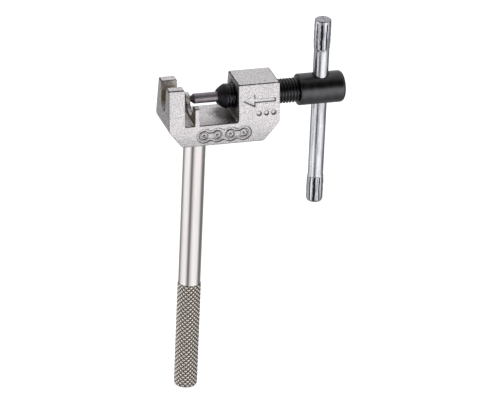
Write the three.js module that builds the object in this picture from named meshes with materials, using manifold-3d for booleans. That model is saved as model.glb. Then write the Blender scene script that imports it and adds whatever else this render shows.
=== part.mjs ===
// Bicycle chain tool: a one-piece cast frame on a round handle, a threaded spindle that pushes
// a driver pin through the chain, and a tommy bar that slides in the spindle's head.
//
// Millimetres, +Z up. The origin is the centre of the handle's flat end face. The handle stands
// along +Z, the spindle lies along +X with its head at the +X end, and Y is across the frame.
import * as THREE from 'three';
import { mergeVertices } from 'three/addons/utils/BufferGeometryUtils.js';
import Module from 'manifold-3d';

const wasm = await Module();
wasm.setup();

// ---- Driving dimensions -------------------------------------------------------------------

const AXIS_Z = 100.9; // height of the spindle's axis above the handle's end

// Frame, along X
const POST_OUTER_X = -10.8; // slotted post, the anvil that the chain is pushed against
const POST_INNER_X = -5.5;
const SADDLE_OUTER_X = -2.35; // thin wall whose two teeth enter the chain
const SADDLE_INNER_X = -0.75;
const BLOCK_INNER_X = 11.85; // block that carries the spindle's thread
const BLOCK_OUTER_X = 25.45;
const KEEL_LEFT_X = -5.9; // flat underside, between the two chamfers
const KEEL_RIGHT_X = 20.4;

// Frame, heights above the spindle's axis
const POST_TOP = 5.8;
const BLOCK_TOP = 5.9;
const TOOTH_TOP = -0.6;
const FLOOR = -6.1;
const LEFT_CHAMFER_TOP = -7.5;
const RIGHT_CHAMFER_TOP = -6.9;
const KEEL = -13.6;

// Frame, corner radii of the front outline
const TOP_EDGE_RADIUS = 0.4;
const POST_INNER_EDGE_RADIUS = 0.7;
const TOOTH_EDGE_RADIUS = 0.3;
const FLOOR_FILLET = 0.3;
const BLOCK_FILLET = 0.6;
const SHOULDER_RADIUS = 2.2; // where each side face turns into its chamfer
const KEEL_CORNER_RADIUS = 1.2;

// Frame, across: the faces flare below the top edge, then turn in again as a shallow belly
const TOP_HALF_DEPTH = 5.8;
const FLARE = 0.15; // half depth gained per millimetre of height
const BELLY_START = -4;
const BELLY_RADIUS = 26.6;
const KEEL_EDGE_RADIUS = 0.8;

// Cuts in the frame
const SLOT_HALF_WIDTH = 2.6; // rivet slot through the post
const SLOT_CENTRE = -0.6;
const NOTCH_HALF_WIDTH = 3.93; // roller notch between the two teeth
const NOTCH_CENTRE = -1.36;
const SCREW_BORE_RADIUS = 4.1;
const SOCKET_DEPTH = 5;

// Handle
const HANDLE_RADIUS = 3.57;
const KNURL_RADIUS = 3.72;
const KNURL_TOP = 36.8;
const KNURL_RUNOUT = 0.4;
const END_CHAMFER = 0.8;
const SPIGOT_RADIUS = 3;
const SPIGOT_CHAMFER = 0.5;

// Spindle
const THREAD_RADIUS = 3.95;
const NOSE_X = 6.73;
const NOSE_RADIUS = 2.35;
const NOSE_BASE_X = 9.25;
const NOSE_BULGE = 0.14; // how far the nose swells beyond a straight cone
const HEAD_X = 33;
const HEAD_END_X = 48;
const HEAD_RADIUS = 5.05;
const HEAD_FRONT_EDGE = 0.5;
const HEAD_END_EDGE = 1.3;

// Driver pin, held by its collar behind the nose's lip
const PIN_TIP_X = -2.1;
const PIN_TIP_RADIUS = 0.8;
const PIN_CONE_LENGTH = 1.2;
const PIN_RADIUS = 1.63;
const LIP_RADIUS = 1.85;
const LIP_LENGTH = 1.3;
const COLLAR_RADIUS = 2.1;
const POCKET_RADIUS = 2.3;
const POCKET_END_X = 15;

// Tommy bar
const BAR_X = 40.57;
const BAR_RADIUS = 2.47;
const BAR_TOP = 23.6; // above the spindle's axis
const BAR_BOTTOM = -39.3;
const STAKE_RADIUS = 2.7; // swaged ends, too wide for the head's hole
const UPPER_STAKE_LENGTH = 9.9;
const LOWER_STAKE_LENGTH = 9;
const STAKE_RAMP = 1;
const STAKE_END_CHAMFER = 0.7;
const BAR_HOLE_RADIUS = 2.62;

// Clearances and mesh fineness
const GAP = 0.3; // between pieces that touch
const OVERCUT = 1; // how far a cutting solid runs past the face it cuts
const ROUND = 48; // sides of a large turned piece
const SMALL_ROUND = 32; // sides of a small one
const ARC_STEPS = 4; // steps in a rounded corner
const BELLY_STEPS = 6;

// ---- Joining and cutting ------------------------------------------------------------------

function toSolid(geometry) {
  const bare = geometry.clone();
  bare.deleteAttribute('normal');
  bare.deleteAttribute('uv');
  const merged = mergeVertices(bare, 1e-4);
  return new wasm.Manifold(new wasm.Mesh({
    numProp: 3,
    vertProperties: new Float32Array(merged.attributes.position.array),
    triVerts: new Uint32Array(merged.index.array),
  }));
}

function toGeometry(solid) {
  const mesh = solid.getMesh();
  const geometry = new THREE.BufferGeometry();
  geometry.setAttribute('position', new THREE.BufferAttribute(mesh.vertProperties, 3));
  geometry.setIndex(new THREE.BufferAttribute(mesh.triVerts, 1));
  geometry.computeVertexNormals();
  return geometry;
}

// ---- Basic forms --------------------------------------------------------------------------

// A closed outline whose corners are rounded. Each corner is [across, up, radius].
function roundedOutline(corners) {
  const shape = new THREE.Shape();
  corners.forEach(([x, y, radius], i) => {
    const here = new THREE.Vector2(x, y);
    const before = corners[(i + corners.length - 1) % corners.length];
    const after = corners[(i + 1) % corners.length];
    const toBefore = new THREE.Vector2(before[0], before[1]).sub(here).normalize();
    const toAfter = new THREE.Vector2(after[0], after[1]).sub(here).normalize();
    const halfAngle = Math.acos(THREE.MathUtils.clamp(toBefore.dot(toAfter), -1, 1)) / 2;
    const reach = radius / Math.tan(halfAngle);
    const start = here.clone().addScaledVector(toBefore, reach);
    const end = here.clone().addScaledVector(toAfter, reach);
    const inward = toBefore.clone().add(toAfter).normalize();
    const centre = here.clone().addScaledVector(inward, radius / Math.sin(halfAngle));
    const from = start.clone().sub(centre).angle();
    const to = end.clone().sub(centre).angle();
    const clockwise = toBefore.cross(toAfter) > 0;
    shape.absarc(centre.x, centre.y, radius, from, to, clockwise);
  });
  return shape;
}

// An outline drawn in the XZ plane, made into a plate between two Y positions.
function plateAcrossY(shape, fromY, toY) {
  const geometry = new THREE.ExtrudeGeometry(shape, {
    depth: toY - fromY, bevelEnabled: false, curveSegments: ARC_STEPS,
  });
  geometry.rotateX(Math.PI / 2);
  geometry.translate(0, toY, AXIS_Z);
  return geometry;
}

// An outline drawn in the YZ plane, made into a bar between two X positions.
function barAlongX(shape, fromX, toX, steps) {
  const geometry = new THREE.ExtrudeGeometry(shape, {
    depth: toX - fromX, bevelEnabled: false, curveSegments: steps,
  });
  const turn = new THREE.Matrix4().makeBasis(
    new THREE.Vector3(0, 1, 0),
    new THREE.Vector3(0, 0, 1),
    new THREE.Vector3(1, 0, 0),
  );
  geometry.applyMatrix4(turn);
  geometry.translate(fromX, 0, AXIS_Z);
  return geometry;
}

// A turned piece along +Z. Each profile point is [radius, height].
function turnedUpright(profile, sides) {
  const points = profile.map(([radius, height]) => new THREE.Vector2(radius, height));
  const geometry = new THREE.LatheGeometry(points, sides);
  geometry.rotateX(Math.PI / 2);
  return geometry;
}

// A turned piece on the spindle's axis. Each profile point is [radius, x].
function turnedOnAxis(profile, sides) {
  const geometry = turnedUpright(profile, sides);
  geometry.rotateY(Math.PI / 2);
  geometry.translate(0, 0, AXIS_Z);
  return geometry;
}

// A U-shaped opening in the YZ plane: a half round floor with straight sides up to top.
function openU(halfWidth, centre, top) {
  const shape = new THREE.Shape();
  shape.moveTo(halfWidth, top);
  shape.lineTo(-halfWidth, top);
  shape.absarc(0, centre, halfWidth, Math.PI, 2 * Math.PI, false);
  return shape;
}

// Quarter of a circle from one profile direction to another, for the edge of a turned piece.
function turnedEdge(radiusCentre, axialCentre, size, fromAngle, toAngle) {
  return Array.from({ length: ARC_STEPS + 1 }, (_, i) => {
    const angle = THREE.MathUtils.lerp(fromAngle, toAngle, i / ARC_STEPS);
    return [radiusCentre + size * Math.sin(angle), axialCentre - size * Math.cos(angle)];
  });
}

// ---- The pieces ---------------------------------------------------------------------------

function frameGeometry() {
  const front = roundedOutline([
    [POST_OUTER_X, POST_TOP, TOP_EDGE_RADIUS],
    [POST_OUTER_X, LEFT_CHAMFER_TOP, SHOULDER_RADIUS],
    [KEEL_LEFT_X, KEEL, KEEL_CORNER_RADIUS],
    [KEEL_RIGHT_X, KEEL, KEEL_CORNER_RADIUS],
    [BLOCK_OUTER_X, RIGHT_CHAMFER_TOP, SHOULDER_RADIUS],
    [BLOCK_OUTER_X, BLOCK_TOP, TOP_EDGE_RADIUS],
    [BLOCK_INNER_X, BLOCK_TOP, TOP_EDGE_RADIUS],
    [BLOCK_INNER_X, FLOOR, BLOCK_FILLET],
    [SADDLE_INNER_X, FLOOR, FLOOR_FILLET],
    [SADDLE_INNER_X, TOOTH_TOP, TOOTH_EDGE_RADIUS],
    [SADDLE_OUTER_X, TOOTH_TOP, TOOTH_EDGE_RADIUS],
    [SADDLE_OUTER_X, FLOOR, FLOOR_FILLET],
    [POST_INNER_X, FLOOR, FLOOR_FILLET],
    [POST_INNER_X, POST_TOP, POST_INNER_EDGE_RADIUS],
  ]);
  const bellyAngle = Math.atan(FLARE);
  const bellyHalfDepth = TOP_HALF_DEPTH + FLARE * (POST_TOP - BELLY_START);
  const bellyCentreY = bellyHalfDepth - BELLY_RADIUS * Math.cos(bellyAngle);
  const bellyCentreZ = BELLY_START - BELLY_RADIUS * Math.sin(bellyAngle);
  const keelAngle = Math.asin((KEEL + KEEL_EDGE_RADIUS - bellyCentreZ) / BELLY_RADIUS);
  const keelHalfDepth = bellyCentreY + BELLY_RADIUS * Math.cos(keelAngle);
  const crown = BLOCK_TOP + OVERCUT;
  const crownHalfDepth = TOP_HALF_DEPTH - FLARE * (crown - POST_TOP);
  const edgeY = keelHalfDepth - KEEL_EDGE_RADIUS;
  const edgeZ = KEEL + KEEL_EDGE_RADIUS;
  const side = new THREE.Shape();
  side.moveTo(crownHalfDepth, crown);
  side.lineTo(-crownHalfDepth, crown);
  side.absarc(-bellyCentreY, bellyCentreZ, BELLY_RADIUS, Math.PI - bellyAngle, Math.PI - keelAngle, false);
  side.absarc(-edgeY, edgeZ, KEEL_EDGE_RADIUS, Math.PI, 1.5 * Math.PI, false);
  side.absarc(edgeY, edgeZ, KEEL_EDGE_RADIUS, 1.5 * Math.PI, 2 * Math.PI, false);
  side.absarc(bellyCentreY, bellyCentreZ, BELLY_RADIUS, keelAngle, bellyAngle, false);

  const widest = bellyCentreY + BELLY_RADIUS + OVERCUT;
  const casting = toSolid(plateAcrossY(front, -widest, widest))
    .intersect(toSolid(barAlongX(side, POST_OUTER_X - OVERCUT, BLOCK_OUTER_X + OVERCUT, BELLY_STEPS)));
  const slot = barAlongX(
    openU(SLOT_HALF_WIDTH, SLOT_CENTRE, crown),
    POST_OUTER_X - OVERCUT, POST_INNER_X + OVERCUT, SMALL_ROUND / 2,
  );
  const notch = barAlongX(
    openU(NOTCH_HALF_WIDTH, NOTCH_CENTRE, TOOTH_TOP + OVERCUT),
    SADDLE_OUTER_X - OVERCUT, SADDLE_INNER_X + OVERCUT, SMALL_ROUND / 2,
  );
  const screwBore = turnedOnAxis([
    [0, BLOCK_INNER_X - OVERCUT],
    [SCREW_BORE_RADIUS, BLOCK_INNER_X - OVERCUT],
    [SCREW_BORE_RADIUS, BLOCK_OUTER_X + OVERCUT],
    [0, BLOCK_OUTER_X + OVERCUT],
  ], ROUND);
  const keelHeight = AXIS_Z + KEEL;
  const socket = turnedUpright([
    [0, keelHeight - OVERCUT],
    [SPIGOT_RADIUS + GAP, keelHeight - OVERCUT],
    [SPIGOT_RADIUS + GAP, keelHeight + SOCKET_DEPTH],
    [0, keelHeight + SOCKET_DEPTH],
  ], SMALL_ROUND);
  return toGeometry([slot, notch, screwBore, socket]
    .reduce((solid, cut) => solid.subtract(toSolid(cut)), casting));
}

function handleGeometry() {
  const shoulder = AXIS_Z + KEEL - GAP;
  const spigotTop = AXIS_Z + KEEL + SOCKET_DEPTH - GAP;
  return turnedUpright([
    [0, 0],
    [KNURL_RADIUS - END_CHAMFER, 0],
    [KNURL_RADIUS, END_CHAMFER],
    [KNURL_RADIUS, KNURL_TOP - KNURL_RUNOUT],
    [HANDLE_RADIUS, KNURL_TOP],
    [HANDLE_RADIUS, shoulder],
    [SPIGOT_RADIUS, shoulder],
    [SPIGOT_RADIUS, spigotTop - SPIGOT_CHAMFER],
    [SPIGOT_RADIUS - SPIGOT_CHAMFER, spigotTop],
    [0, spigotTop],
  ], ROUND);
}

function spindleGeometry() {
  const nose = [1, 2, 3].map((step) => {
    const share = step / 4;
    const swell = NOSE_BULGE * Math.sin(Math.PI * share);
    return [
      THREE.MathUtils.lerp(NOSE_RADIUS, THREAD_RADIUS, share) + swell,
      THREE.MathUtils.lerp(NOSE_X, NOSE_BASE_X, share),
    ];
  });
  const body = toSolid(turnedOnAxis([
    [0, POCKET_END_X],
    [POCKET_RADIUS, POCKET_END_X],
    [POCKET_RADIUS, NOSE_X + LIP_LENGTH],
    [LIP_RADIUS, NOSE_X + LIP_LENGTH],
    [LIP_RADIUS, NOSE_X],
    [NOSE_RADIUS, NOSE_X],
    ...nose,
    [THREAD_RADIUS, NOSE_BASE_X],
    [THREAD_RADIUS, HEAD_X],
    ...turnedEdge(HEAD_RADIUS - HEAD_FRONT_EDGE, HEAD_X + HEAD_FRONT_EDGE, HEAD_FRONT_EDGE, 0, Math.PI / 2),
    ...turnedEdge(HEAD_RADIUS - HEAD_END_EDGE, HEAD_END_X - HEAD_END_EDGE, HEAD_END_EDGE, Math.PI / 2, Math.PI),
    [0, HEAD_END_X],
  ], ROUND));
  const hole = turnedUpright([
    [0, AXIS_Z - HEAD_RADIUS - OVERCUT],
    [BAR_HOLE_RADIUS, AXIS_Z - HEAD_RADIUS - OVERCUT],
    [BAR_HOLE_RADIUS, AXIS_Z + HEAD_RADIUS + OVERCUT],
    [0, AXIS_Z + HEAD_RADIUS + OVERCUT],
  ], SMALL_ROUND);
  hole.translate(BAR_X, 0, 0);
  return toGeometry(body.subtract(toSolid(hole)));
}

function driverPinGeometry() {
  const collarStart = NOSE_X + LIP_LENGTH + GAP;
  const collarEnd = POCKET_END_X - GAP;
  return turnedOnAxis([
    [0, PIN_TIP_X],
    [PIN_TIP_RADIUS, PIN_TIP_X],
    [PIN_RADIUS, PIN_TIP_X + PIN_CONE_LENGTH],
    [PIN_RADIUS, collarStart],
    [COLLAR_RADIUS, collarStart],
    [COLLAR_RADIUS, collarEnd],
    [0, collarEnd],
  ], SMALL_ROUND);
}

function tommyBarGeometry() {
  const lowerStakeTop = BAR_BOTTOM + LOWER_STAKE_LENGTH;
  const upperStakeBottom = BAR_TOP - UPPER_STAKE_LENGTH;
  return turnedUpright([
    [0, BAR_BOTTOM],
    [STAKE_RADIUS - STAKE_END_CHAMFER, BAR_BOTTOM],
    [STAKE_RADIUS, BAR_BOTTOM + STAKE_END_CHAMFER],
    [STAKE_RADIUS, lowerStakeTop - STAKE_RAMP],
    [BAR_RADIUS, lowerStakeTop],
    [BAR_RADIUS, upperStakeBottom],
    [STAKE_RADIUS, upperStakeBottom + STAKE_RAMP],
    [STAKE_RADIUS, BAR_TOP - STAKE_END_CHAMFER],
    [STAKE_RADIUS - STAKE_END_CHAMFER, BAR_TOP],
    [0, BAR_TOP],
  ], SMALL_ROUND);
}

// ---- Materials and assembly ---------------------------------------------------------------

const satinNickel = new THREE.MeshStandardMaterial({ color: 0xd6d2d2, roughness: 0.45, metalness: 0.9 });
const brightNickel = new THREE.MeshStandardMaterial({ color: 0xcfc9c6, roughness: 0.22, metalness: 1 });
const blackOxide = new THREE.MeshStandardMaterial({ color: 0x1c1d1f, roughness: 0.42, metalness: 0.8 });
const groundSteel = new THREE.MeshStandardMaterial({ color: 0x77717a, roughness: 0.3, metalness: 1 });
const zincPlate = new THREE.MeshStandardMaterial({ color: 0xc9ccd4, roughness: 0.25, metalness: 1 });

const chainTool = new THREE.Group();

function addPiece(name, geometry, material, x = 0, z = 0) {
  const piece = new THREE.Mesh(geometry, material);
  piece.name = name;
  piece.position.set(x, 0, z);
  chainTool.add(piece);
}

addPiece('frame', frameGeometry(), satinNickel);
addPiece('handle', handleGeometry(), brightNickel);
addPiece('spindle', spindleGeometry(), blackOxide);
addPiece('driver_pin', driverPinGeometry(), groundSteel);
addPiece('tommy_bar', tommyBarGeometry(), zincPlate, BAR_X, AXIS_Z);

export default chainTool;
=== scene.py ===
import math

import bpy
import numpy as np
from mathutils import Matrix, Vector, noise
from mathutils.bvhtree import BVHTree


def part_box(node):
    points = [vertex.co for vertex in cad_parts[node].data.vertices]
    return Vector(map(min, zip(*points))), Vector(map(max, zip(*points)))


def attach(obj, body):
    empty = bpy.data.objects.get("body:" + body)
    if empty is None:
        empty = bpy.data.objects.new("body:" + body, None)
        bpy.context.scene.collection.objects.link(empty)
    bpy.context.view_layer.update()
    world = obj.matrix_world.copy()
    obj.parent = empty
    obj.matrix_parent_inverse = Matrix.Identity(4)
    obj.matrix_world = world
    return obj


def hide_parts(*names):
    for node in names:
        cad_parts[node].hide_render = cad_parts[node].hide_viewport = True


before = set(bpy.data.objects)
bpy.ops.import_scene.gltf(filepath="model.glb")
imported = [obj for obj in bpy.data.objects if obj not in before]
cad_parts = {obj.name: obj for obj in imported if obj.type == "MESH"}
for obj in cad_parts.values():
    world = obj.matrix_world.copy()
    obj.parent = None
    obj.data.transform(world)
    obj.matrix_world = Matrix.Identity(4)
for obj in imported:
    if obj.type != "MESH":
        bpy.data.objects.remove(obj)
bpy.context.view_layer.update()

# Looks of the bicycle chain tool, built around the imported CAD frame.
#
# Every piece is shaped in millimetres and written to Blender in metres, on the frame's own axes:
# +Z up the handle, +X along the spindle to its head, and -Y out of the marked front face.

MM = 0.001


def box_mm(node):
    low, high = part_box(node)
    return low / MM, high / MM


FRAME_LOW, FRAME_HIGH = box_mm("frame")
_, HANDLE_HIGH = box_mm("handle")
SPINDLE_LOW, SPINDLE_HIGH = box_mm("spindle")
PIN_LOW, PIN_HIGH = box_mm("driver_pin")
BAR_LOW, BAR_HIGH = box_mm("tommy_bar")
AXIS_Z = (SPINDLE_LOW.z + SPINDLE_HIGH.z) / 2
BAR_X = (BAR_LOW.x + BAR_HIGH.x) / 2
KEEL_Z = FRAME_LOW.z

# ---- Sizes, in millimetres ----------------------------------------------------------------

# Frame: a casting
CASTING_VOXEL = 0.13
CASTING_SMOOTHING = {"factor": 0.5, "iterations": 5}  # leaves edges about 0.25 mm round
CASTING_FACES = 130000
CASTING_RIPPLE = 0.03
CASTING_GRAIN = 0.02
RIPPLE_SCALE = 0.45  # waves per millimetre
GRAIN_SCALE = 2.6
CASTING_RECESS_REACH = 7.0  # how far away a wall still makes a recess
RECESS_RAYS = 20
RAY_LIFT = 0.05  # how far off the surface its rays start
LIT_FROM_ABOVE = 0.8  # how much less the dull plate and painted shade of a recess show on a surface that faces up, lit from above
LIT_FACING = (0.1, 0.6)  # upward part of the normal where that starts and where it is full
EDGE_BEND = (1.0, 2.4)  # curvatures, per millimetre, where an edge starts and where it is full
EDGE_FACING_UP = (0.1, 0.35)
EDGE_FACING_LEFT = (0.25, 0.45)
EDGE_SPREAD = 0.5  # how much of an edge's darkness its neighbours take
EDGES_CLEAR_OF_AXIS = (4.0, 4.5)  # the slot and the notch, this near the axis, get no painted edge shade on their rims

# Generic marks on the front face
FRONT_Y = -5  # all of the front face and of its marks lies in front of this
FRONT_FACING = -0.6
MARK_DEPTH = 0.42
MARK_EDGE = 0.14
MARK_STROKE = 0.8
MARK_GRIME_AND_SHADE = 0.45  # how dark the outlines of the marks are, against the top edges: painted shade, with grime in the engraving
GRIME_AND_SHADE_REACH = (0.32, 0.08)  # distances from an outline where the painted shade and grime start and where they are full
CLEAN_REACH = (0.3, 0.1)  # the same for the part of a mark that counts as no recess
EDGES_CLEAR_OF_MARKS = (0.2, 0.6)
CHAIN_X = 0.9
CHAIN_Z = 91.0
CHAIN_PITCH = 4.3
CHAIN_PINS = 4
PLATE_RADIUS = 2.05
PLATE_WAIST = 1.35
RIVET_RADIUS = 0.75
ARROW_TIP_X = 13.7
ARROW_END_X = 24.0
ARROW_HEAD_LENGTH = 3.6
ARROW_HALF_HEIGHT = 1.9
ARROW_SHAFT_HALF = 0.55
ARROW_OVERLAP = 1  # how far the shaft runs into the head
ARROW_Z = 101.3
DOT_XS = (18.6, 21.0, 23.4)
DOT_Z = 97.2
DOT_RADIUS = 0.72

# Handle
HANDLE_RADIUS = 3.57
HANDLE_SIDES = 180
KNURL_RADIUS = 3.78
KNURL_TOP = 36.8
KNURL_DEPTH = 0.24
KNURL_STARTS = 15
KNURL_PITCH = 1.53  # along the handle
KNURL_STEP = 0.15
KNURL_START = 0.2
KNURL_FADE = 0.5
KNURL_SLOPE = (0.04, 0.62)  # where a diamond's side starts and ends, from groove to middle
GRIP_END_ROUND = 0.9
SPIGOT_RADIUS = 3.0
SHOULDER_CHAMFER = 0.12
HANDLE_END_RINGS = (1.0, 2.0)  # radii of the rings on the flat end face
SHANK_RINGS = 40

# Spindle
SPINDLE_SIDES = 96
THREAD_CREST = 3.95
THREAD_ROOT = 3.36
THREAD_PITCH = 1.0
THREAD_STEP = 0.1
THREAD_FLANK = (0.12, 0.86)  # where a flank starts and ends, from root to crest
NOSE_RADIUS = 2.35
NOSE_BASE_X = 9.25
NOSE_BULGE = 0.14
POCKET_RADIUS = 2.3
POCKET_END_X = 15.0
LIP_RADIUS = 1.85
LIP_LENGTH = 1.3
HEAD_X = 33.0
HEAD_RADIUS = SPINDLE_HIGH.y
HEAD_FRONT_ROUND = 0.5
HEAD_END_ROUND = 1.3
HEAD_STEP = 0.6
HEAD_END_RING = 1.5
BAR_HOLE_RADIUS = 2.62
BAR_HOLE_FLARE = 0.22
CUTTER_MARGIN = 1

# Driver pin
PIN_SIDES = 64
PIN_RADIUS = 1.63
PIN_TIP_RADIUS = 0.8
PIN_CONE_LENGTH = 1.2
PIN_TIP_ROUND = 0.18
PIN_TIP_ROUND_END = 110  # degrees, where the rounded edge gives way to the cone
PIN_SHOULDER_START = 0.12  # the softened edge between cone and shank
PIN_SHOULDER_DROP = 0.09
PIN_SHOULDER_END = 0.08
PIN_SHANK_START = 0.4
PIN_SHANK_RINGS = 24
PIN_COLLAR_GAP = 0.3

# Tommy bar
BAR_SIDES = 160
BAR_RADIUS = 2.47
STAKE_RADIUS = 2.7
STAKE_END_SHARE = 0.65  # how much of the swelling is there already at the bar's end
STAKE_SWELL_END = 0.3  # share of the length where the swelling is full
STAKE_TAPER_START = 0.7  # share of the length where it starts to shrink again
STAKE_LEDGE_SHARE = 0.6  # how much of the swelling ends in the ledge
STAKE_TAPER_SHARE = 0.4
STAKE_STEP = 0.15
SHAFT_STEP = 0.9
LEDGE_LENGTH = 0.2
STAKE_STEP_SLACK = 0.01  # lets the steps towards an end reach it
UPPER_STAKE = {"length": 9.9, "rim": 0.35, "drop": 0.25, "grooves_from": 1.0}
LOWER_STAKE = {"length": 9.0, "rim": 1.2, "drop": 0.7, "grooves_from": -0.3}
UPPER_STAKE_START = BAR_HIGH.z - UPPER_STAKE["length"]
LOWER_STAKE_START = BAR_LOW.z + LOWER_STAKE["length"]
FLUTE_TURN = math.radians(-112)  # where the first flute lies, about the bar
FLUTE_DEPTHS = (0.62, 0.42, 0.55, 0.4, 0.58, 0.35, 0.5, 0.6, 0.45, 0.45)
FLUTE_HALF_WIDTHS = (0.23, 0.16, 0.18, 0.22, 0.19, 0.2, 0.17, 0.21, 0.18, 0.24)  # in flute spacings
FLUTES = len(FLUTE_DEPTHS)
FLUTE_DRIFT = 0.03  # how far a flute wanders sideways, in flute spacings
FLUTE_WAVE = 1.1  # how fast it wanders, in radians per millimetre
FLUTE_PHASE = 2.3  # how much each flute's wave is out of step with the one before
FLUTE_FLOOR = 0.35  # share of a flute's half width that is its floor
FLUTE_RUN_IN = 0.6
FLUTE_RUN_OUT = 0.4
FLUTE_RECESS_REACH = 1.2
SHEARED_DEPTH = 0.28
SHEARED_FULL_DEPTH = 0.12
SHEARED_RINGS = 12
SHEARED_SHARES = (0.12, 0.94)  # radii of its first and last ring, as shares of the rim's
SHEARED_BUMP_SCALE = 1.6
SHEARED_MEAN = 0.09
SHEARED_BUMPS = 0.16

# ---- Mesh tools ---------------------------------------------------------------------------


def smoothstep(low, high, value):
    share = np.clip((value - low) / (high - low), 0.0, 1.0)
    return share * share * (3 - 2 * share)


def angles(sides):
    return np.arange(sides) * (2 * math.pi / sides)


def quarter_round(radius, along, size, start, end, steps=6):
    """Rings round a turned edge, as (place along the axis, radius). Angle 0 points along the axis."""
    rings = []
    for step in range(steps + 1):
        angle = math.radians(start + (end - start) * step / steps)
        rings.append((along + size * math.cos(angle), radius + size * math.sin(angle)))
    return rings


def turned_faces(ring_count, sides):
    """Faces of a body of rings that is closed at both ends by a single point."""
    first_pole = ring_count * sides
    last_pole = first_pole + 1
    faces = []
    for side in range(sides):
        after = (side + 1) % sides
        faces.append((first_pole, after, side))
        for ring in range(ring_count - 1):
            here = ring * sides
            above = here + sides
            faces.append((here + side, here + after, above + after, above + side))
        top = (ring_count - 1) * sides
        faces.append((top + side, top + after, last_pole))
    return faces


def turned_mesh(name, rings, sides, axis, centre):
    """A closed body turned about X or Z. A ring is (place along the axis, one radius or one per side)."""
    turn = angles(sides)
    points = []
    for along, radius in rings:
        place = np.broadcast_to(along, sides)
        points.append(np.stack([place, radius * np.cos(turn), radius * np.sin(turn)], axis=1))
    poles = [[np.mean(rings[0][0]), 0.0, 0.0], [np.mean(rings[-1][0]), 0.0, 0.0]]
    points = np.concatenate([*points, poles])
    if axis == "Z":
        points = points[:, [1, 2, 0]]
    mesh = bpy.data.meshes.new(name)
    mesh.from_pydata((points + np.array(centre)).tolist(), [], turned_faces(len(rings), sides))
    return mesh


def coordinates(mesh):
    values = np.empty(len(mesh.vertices) * 3, np.float32)
    mesh.vertices.foreach_get("co", values)
    return values.reshape(-1, 3).astype(float)


def set_coordinates(mesh, points):
    mesh.vertices.foreach_set("co", points.astype(np.float32).ravel())
    mesh.update()


def normals(mesh):
    values = np.empty(len(mesh.vertices) * 3, np.float32)
    mesh.vertex_normals.foreach_get("vector", values)
    return values.reshape(-1, 3).astype(float)


def modified(mesh, *steps):
    """The mesh with modifiers applied. A step is (modifier type, settings)."""
    carrier = bpy.data.objects.new("carrier", mesh)
    bpy.context.scene.collection.objects.link(carrier)
    for kind, settings in steps:
        modifier = carrier.modifiers.new(kind.lower(), kind)
        for key, value in settings.items():
            setattr(modifier, key, value)
    evaluated = carrier.evaluated_get(bpy.context.evaluated_depsgraph_get())
    result = bpy.data.meshes.new_from_object(evaluated)
    bpy.data.objects.remove(carrier)
    return result


def add_piece(name, mesh, node, body, material, crease=35):
    """Puts a finished mesh, in millimetres, in the scene in place of its CAD node."""
    mesh.transform(Matrix.Scale(MM, 4))
    mesh.shade_smooth()
    mesh.set_sharp_from_angle(angle=math.radians(crease))
    mesh.materials.clear()
    mesh.materials.append(material)
    piece = bpy.data.objects.new(name, mesh)
    bpy.context.scene.collection.objects.link(piece)
    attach(piece, body)
    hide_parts(node)
    return piece


# ---- Frame --------------------------------------------------------------------------------


def disc(x, z, centre_x, centre_z, radius):
    return np.hypot(x - centre_x, z - centre_z) - radius


def link_plate(x, z, start_x, end_x):
    """Distance to the outline of a chain's link plate: two round ends and a narrower waist."""
    inside = np.clip(x, start_x, end_x)
    waist = np.hypot(x - inside, z - CHAIN_Z) - PLATE_WAIST
    ends = [disc(x, z, end, CHAIN_Z, PLATE_RADIUS) for end in (start_x, end_x)]
    return np.minimum.reduce([waist, *ends])


def chain_mark(x, z):
    """A row of chain links, drawn as engraved outlines."""
    pins = [CHAIN_X + CHAIN_PITCH * i for i in range(CHAIN_PINS)]
    plates = [link_plate(x, z, *pair) for pair in zip(pins, pins[1:])]
    outer = np.minimum.reduce(plates[0::2])
    inner = np.minimum.reduce(plates[1::2])
    strokes = [np.abs(outer), np.maximum(np.abs(inner), -outer)]
    strokes += [np.abs(disc(x, z, pin, CHAIN_Z, RIVET_RADIUS)) for pin in pins]
    return np.minimum.reduce(strokes) - MARK_STROKE / 2


def arrow_mark(x, z):
    """An arrow towards the post, the way that the driver pin pushes."""
    rise = np.abs(z - ARROW_Z)
    slope = math.atan2(ARROW_HALF_HEIGHT, ARROW_HEAD_LENGTH)
    sides = rise * math.cos(slope) - (x - ARROW_TIP_X) * math.sin(slope)
    head = np.maximum(sides, x - ARROW_TIP_X - ARROW_HEAD_LENGTH)
    shaft_ends = np.maximum(ARROW_TIP_X + ARROW_OVERLAP - x, x - ARROW_END_X)
    shaft = np.maximum(rise - ARROW_SHAFT_HALF, shaft_ends)
    return np.minimum(head, shaft)


def dots_mark(x, z):
    return np.minimum.reduce([disc(x, z, dot_x, DOT_Z, DOT_RADIUS) for dot_x in DOT_XS])


def mark_distance(x, z):
    return np.minimum.reduce([chain_mark(x, z), arrow_mark(x, z), dots_mark(x, z)])


def engrave(points, facing):
    """Sinks the marks into the front face."""
    x, y, z = points.T
    depth = MARK_DEPTH * smoothstep(MARK_EDGE / 2, -MARK_EDGE / 2, mark_distance(x, z))
    on_front = (facing[:, 1] < FRONT_FACING) & (y < FRONT_Y)
    points[:, 1] += np.where(on_front, depth, 0)


def roughen(points, facing):
    """Moves the skin of the casting inwards by a slow ripple and a fine grain."""
    depth = np.empty(len(points))
    for i, point in enumerate(points):
        place = Vector(point)
        ripple = noise.noise(place * RIPPLE_SCALE) * 0.5 + 0.5
        grain = noise.noise(place * GRAIN_SCALE) * 0.5 + 0.5
        depth[i] = CASTING_RIPPLE * ripple + CASTING_GRAIN * grain
    points -= facing * depth[:, None]


def search_tree(mesh):
    points = [vertex.co for vertex in mesh.vertices]
    faces = [face.vertices for face in mesh.polygons]
    return BVHTree.FromPolygons(points, faces)


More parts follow.
